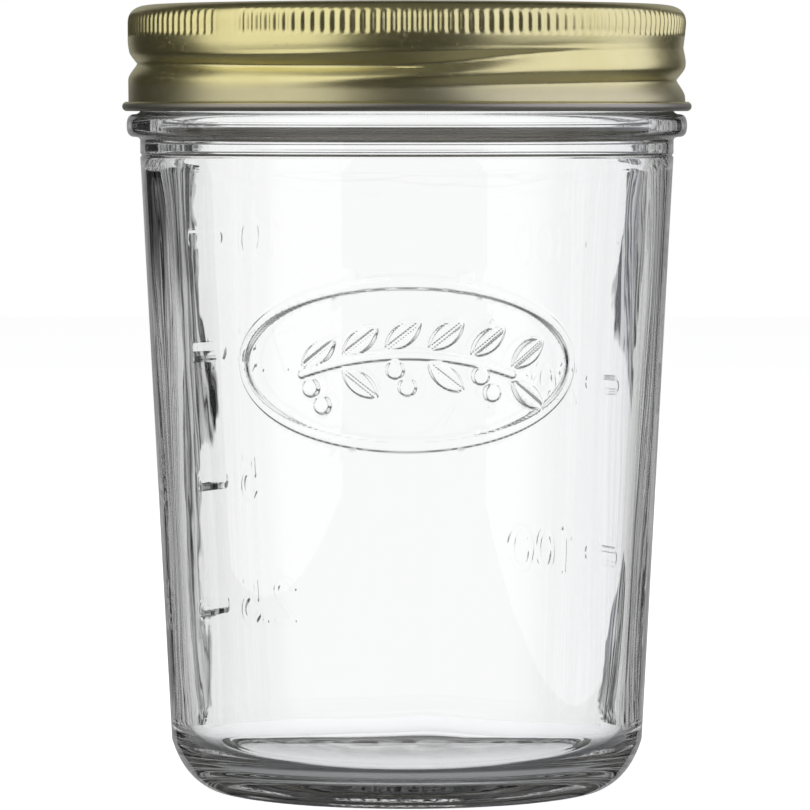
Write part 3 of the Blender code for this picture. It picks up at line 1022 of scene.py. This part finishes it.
def floor_material():
    """Paper that is white to the camera and keeps the shadow. Through the glass it shows a painted shadow
    ring before the foot, and painted shade where the glass mirrors it.

    Further out, the glass looks past the paper at the surroundings.
    """
    material = bpy.data.materials.new("floor_paper")
    material.use_nodes = True
    tree = material.node_tree
    tree.nodes.remove(tree.nodes["Principled BSDF"])
    formula = Formula(tree)
    path, past_glass, mirrored = ray_kinds(formula)
    spot = formula.node("ShaderNodeTexCoord").outputs["Object"]
    away = formula.given("ShaderNodeVectorMath", spot, operation="LENGTH")["Value"]
    depth = formula.given("ShaderNodeSeparateXYZ", spot)[1]
    inside = formula.ramp(away, FOOT_SHADE_INSIDE - FOOT_SHADE_SOFT, FOOT_SHADE_INSIDE, 1.0, 0.0)
    outside = formula.ramp(away, FOOT_SHADE_OUTSIDE, FOOT_SHADE_END)
    behind = formula.ramp(depth, -FOOT_BEHIND, FOOT_BEHIND)
    clear = formula("MAXIMUM", formula("MAXIMUM", inside, outside), behind)
    # Painted shade: what the glass mirrors sees the paper darker.
    clear = formula("MULTIPLY", clear, formula("MULTIPLY_ADD", mirrored, -FOOT_DARKNESS, 1.0))
    darkness = formula("MULTIPLY", past_glass, FOOT_DARKNESS)
    shade = formula("MULTIPLY", formula("SUBTRACT", 1.0, clear), darkness)
    bright = formula("MULTIPLY_ADD", shade, -PAPER_LEVEL, PAPER_LEVEL)
    grey = formula.given("ShaderNodeCombineXYZ", bright, bright, bright)[0]
    paper = formula.given("ShaderNodeBsdfDiffuse", grey)[0]
    seen = formula("MAXIMUM", path["Is Camera Ray"], formula("MULTIPLY", past_glass, clear))
    glow = formula.given("ShaderNodeEmission", (1, 1, 1, 1), formula("MULTIPLY", seen, PAPER_GLOW))[0]
    both = formula.given("ShaderNodeAddShader", paper, glow)[0]
    past_paper = formula("MULTIPLY", past_glass, formula("GREATER_THAN", away, FOOT_REACH))
    opening = formula.node("ShaderNodeBsdfTransparent").outputs[0]
    mixed = formula.given("ShaderNodeMixShader", past_paper, both, opening)[0]
    tree.links.new(mixed, tree.nodes["Material Output"].inputs["Surface"])
    return material


# The cards' turns and levels are in degrees, and a shade of 1 is black.
CARD_WAVER = 2.0
STREAK_SHADE = 0.38
LEFT_CARD = (8.0, 15.5)
LEFT_CARD_SHIFTS = (3.8, 1.2)
LEFT_CARD_SHIFT_LEVELS = (-5.0, -3.0, 1.0, 0.0)
LEFT_CARD_SHADE = 0.66
WIDE_CARD = (8.5, 38.0)
WIDE_CARD_BOTTOM = (-3.3, -2.0)
WIDE_CARD_TOP = (2.0, 6.0, 1.0, 0.0)
WIDE_CARD_SHADE = 0.9
RIGHT_CARD_MIDDLE = (-3.2, -1.5, 13.6, 16.2)
RIGHT_CARD_UPPER_HALF = (-3.8, -2.2, 0.0, 4.8)
RIGHT_CARD_LOWER_HALF = (-5.7, -4.9, 4.0, 0.0)
RIGHT_CARD_SHADE = 0.72
ROOF_SHADE = (6.0, 16.0, 0.0, 0.85)


def card(formula, turn, inner, outer, soft=0.5):
    """1 on an upright card between two turns, in degrees."""
    begun = formula.ramp(turn, inner, formula("ADD", inner, soft))
    ended = formula.ramp(turn, formula("SUBTRACT", outer, soft), outer, 1.0, 0.0)
    return formula("MULTIPLY", begun, ended)


def seen_through_glass(formula, direction):
    """White surroundings with three cards in every quarter turn, whose edges waver a little.

    Gives the brightness, the streaks in the cards, the level in degrees, and the direction's parts.
    """
    waver = formula.noise(direction, scale=1.0, detail=5.0, stretch=(16.0, 16.0, 60.0))
    streaks = formula.noise(direction, scale=1.0, detail=4.0, stretch=(85.0, 85.0, 9.0))
    streak = formula.ramp(streaks, 0.36, 0.64, -STREAK_SHADE, STREAK_SHADE)
    towards = formula.given("ShaderNodeSeparateXYZ", direction)
    azimuth = formula("DEGREES", formula("ARCTAN2", towards[0], towards[1]))
    level = formula("DEGREES", formula("ARCSINE", towards[2]))
    turn = formula("WRAP", azimuth, 45.0, -45.0)
    turn = formula("ADD", turn, formula("MULTIPLY_ADD", waver, 2 * CARD_WAVER, -CARD_WAVER))
    left = formula("MULTIPLY", turn, -1.0)
    low = formula.ramp(level, *LEFT_CARD_SHIFT_LEVELS)
    edges = [formula("MULTIPLY_ADD", low, shift, edge) for shift, edge in zip(LEFT_CARD_SHIFTS, LEFT_CARD)]
    left_card = card(formula, left, *edges)
    wide_card = formula("MULTIPLY", card(formula, left, *WIDE_CARD), formula.ramp(level, *WIDE_CARD_BOTTOM))
    wide_card = formula("MULTIPLY", wide_card, formula.ramp(level, *WIDE_CARD_TOP))
    halves = [formula.ramp(level, *half) for half in (RIGHT_CARD_UPPER_HALF, RIGHT_CARD_LOWER_HALF)]
    half_width = formula("MAXIMUM", *halves)
    middle = formula.ramp(level, *RIGHT_CARD_MIDDLE)
    edges = [formula(way, middle, half_width) for way in ("SUBTRACT", "ADD")]
    right_card = card(formula, turn, *edges)
    shade = formula.ramp(level, *ROOF_SHADE)
    for made, depth in (
        (left_card, LEFT_CARD_SHADE), (wide_card, WIDE_CARD_SHADE), (right_card, RIGHT_CARD_SHADE)
    ):
        streaked = formula("MULTIPLY", made, formula("SUBTRACT", depth, streak))
        shade = formula("MAXIMUM", shade, streaked)
    through = formula("MAXIMUM", formula("SUBTRACT", 1.0, shade), 0.0)
    return through, streak, level, towards


ROOM_LEVEL = 0.4
DIM_TABLE = 0.06
DIM_TABLE_RIGHT = (0.0, 0.45, 0.0, 0.16)
DIM_TABLE_LEFT = (0.0, -0.45, 0.0, 0.06)
DIM_TABLE_LEVELS = (-18.0, -40.0)
DIM_CEILING = (25.0, 55.0, 0.02, 0.03)
MIRRORED_LEVEL = 0.36
MIRRORED_STREAKS = -0.9
MIRRORED_FRONT = (-0.6, -0.1, 1.0, 0.0)
MIRRORED_FRONT_LEVELS = (-11.0, -22.0, 1.0, 0.0)


def light_surroundings():
    """White to the camera. Glass sees white with the cards in it, and metal sees a dim room.

    What the glass mirrors within itself is dimmer, except on the camera's side at about its level.
    """
    world = bpy.data.worlds.new("studio")
    bpy.context.scene.world = world
    world.use_nodes = True
    tree = world.node_tree
    tree.nodes.clear()
    formula = Formula(tree)
    direction = formula.node("ShaderNodeTexCoord").outputs["Generated"]
    through, streak, level, towards = seen_through_glass(formula, direction)
    table = formula("ADD", DIM_TABLE, formula.ramp(towards[0], *DIM_TABLE_RIGHT))
    table = formula("ADD", table, formula.ramp(towards[0], *DIM_TABLE_LEFT))
    glossy = formula("MULTIPLY", table, formula.ramp(level, *DIM_TABLE_LEVELS))
    glossy = formula("MAXIMUM", glossy, formula.ramp(level, *DIM_CEILING))
    path, past_glass, mirrored = ray_kinds(formula)
    front = formula.ramp(towards[1], *MIRRORED_FRONT)
    front = formula("MULTIPLY", front, formula.ramp(level, *MIRRORED_FRONT_LEVELS))
    streaked = formula("MULTIPLY_ADD", streak, MIRRORED_STREAKS, MIRRORED_LEVEL)
    dim = formula.blend(front, formula("MULTIPLY", through, streaked), 1.0, "FLOAT")
    through = formula.blend(mirrored, through, dim, "FLOAT")
    bright = formula.blend(path["Is Glossy Ray"], ROOM_LEVEL, glossy, "FLOAT")
    bright = formula.blend(past_glass, bright, through, "FLOAT")
    bright = formula.blend(path["Is Camera Ray"], bright, 1.0, "FLOAT")
    sky = formula.given("ShaderNodeBackground", (1, 1, 1, 1), bright)[0]
    tree.links.new(sky, formula.node("ShaderNodeOutputWorld").inputs["Surface"])


def softbox(name, turn, tilt, distance, width, height, strength, colour=(1, 1, 1)):
    """A soft lamp at this turn to the right of the front and this tilt above level, facing the jar."""
    turn, tilt = math.radians(turn), math.radians(tilt)
    data = bpy.data.lights.new(name, "AREA")
    data.shape = "RECTANGLE"
    data.size = width
    data.size_y = height
    data.energy = strength * math.pi * width * height
    data.color = colour
    lamp = bpy.data.objects.new(name, data)
    aim = Vector((math.sin(turn) * math.cos(tilt), -math.cos(turn) * math.cos(tilt), math.sin(tilt)))
    lamp.location = aim * distance + Vector((0, 0, JAR_HEIGHT / 2))
    lamp.rotation_euler = aim.to_track_quat("Z", "Y").to_euler()
    lamp.visible_camera = False
    lamp.visible_transmission = False
    bpy.context.scene.collection.objects.link(lamp)


floor_mesh = bmesh.new()
bmesh.ops.create_grid(floor_mesh, x_segments=2, y_segments=2, size=FLOOR_SIDE / 2)
floor = loose_piece(floor_mesh, floor_material())
floor.name = "studio_floor"
floor.location.z = -FLOOR_DROP
floor.visible_glossy = False
floor.visible_shadow = False
light_surroundings()
softbox("left_softbox", turn=-59, tilt=24, distance=0.7, width=0.98, height=1.0, strength=0.97)
softbox(
    "right_softbox", turn=76.5, tilt=20, distance=0.7, width=1.42, height=0.92, strength=0.95,
    colour=(0.98, 0.99, 1.18),
)
softbox("back_softbox", turn=180, tilt=4, distance=0.7, width=0.75, height=0.8, strength=0.35)
softbox("top_softbox", turn=0, tilt=88, distance=0.9, width=1.0, height=1.0, strength=0.055)


# The camera stands level with the band, a long way off, and looks slightly down. Light may bounce
# often enough to come out of the thick glass of the heel.

CAMERA_PLACE = (-0.0003, -0.868, 0.10745)
CAMERA_TILT = 0.0537
LIGHT_BOUNCES = 28

camera_data = bpy.data.cameras.new("photo_camera")
camera_data.sensor_width = 36.0
camera_data.lens = 241.8
camera_data.clip_start = 0.05
camera = bpy.data.objects.new("photo_camera", camera_data)
camera.location = CAMERA_PLACE
camera.rotation_euler = (math.pi / 2 - CAMERA_TILT, 0, 0)
bpy.context.scene.collection.objects.link(camera)
bpy.context.scene.camera = camera
bpy.context.scene.view_settings.view_transform = "Standard"
bpy.context.scene.cycles.max_bounces = LIGHT_BOUNCES
bpy.context.scene.cycles.glossy_bounces = LIGHT_BOUNCES
bpy.context.scene.cycles.transmission_bounces = LIGHT_BOUNCES
